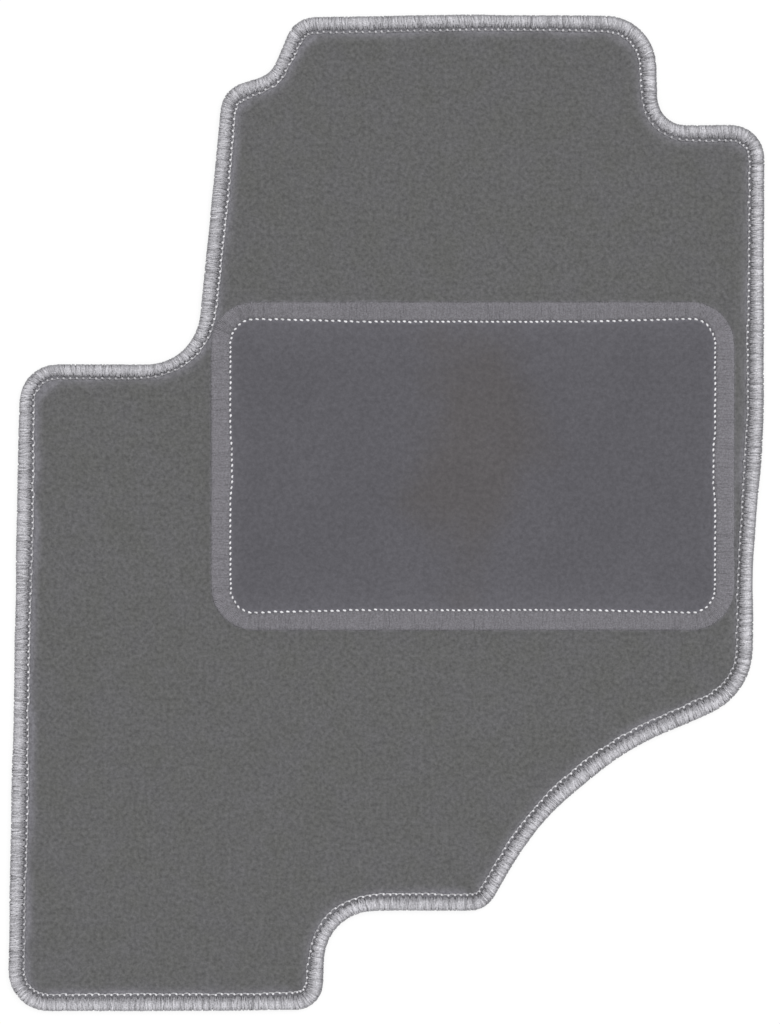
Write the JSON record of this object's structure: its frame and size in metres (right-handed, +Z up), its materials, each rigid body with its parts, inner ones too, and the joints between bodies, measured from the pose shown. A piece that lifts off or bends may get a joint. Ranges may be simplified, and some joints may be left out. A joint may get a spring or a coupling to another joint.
{
  "type": "car floor mat",
  "caption": "Flat textile driver's floor mat with a stepped outline, a yarn-wrapped edge and a sewn-on rectangular heel pad.",
  "frame": {"origin": "on the floor, under the middle of the mat's box", "axes": "+Z up through the mat's thickness, +Y along its length towards the pedals, +X to the right when seated"},
  "size_m": [0.502, 0.662, 0.0089],
  "materials": {
    "velour": "matt cut-pile velour, finely mottled mid grey",
    "primary_cloth": "flat woven backing cloth",
    "anti_slip_latex": "matt granular latex",
    "edge_yarn": "bulky light grey yarn with a soft sheen",
    "white_thread": "bright twisted sewing thread",
    "heel_nap": "smooth short nap, slightly purple grey",
    "heel_backing": "flat backing cloth",
    "heel_yarn": "fine flat yarn laid across the edge, satin sheen",
    "bobbin_thread": "grey sewing thread"
  },
  "bodies": {
    "root": {"carpet_pile": "velour", "carpet_primary_backing": "primary_cloth", "anti_slip_backing": "anti_slip_latex", "edge_overlock_yarn": "edge_yarn", "edge_needle_thread": "white_thread", "edge_looper_thread": "edge_yarn", "heel_pad_face": "heel_nap", "heel_pad_backing": "heel_backing", "heel_pad_overlock_yarn": "heel_yarn", "heel_pad_seam_thread": "white_thread", "heel_pad_bobbin_thread": "bobbin_thread"}
  },
  "joints": []
}
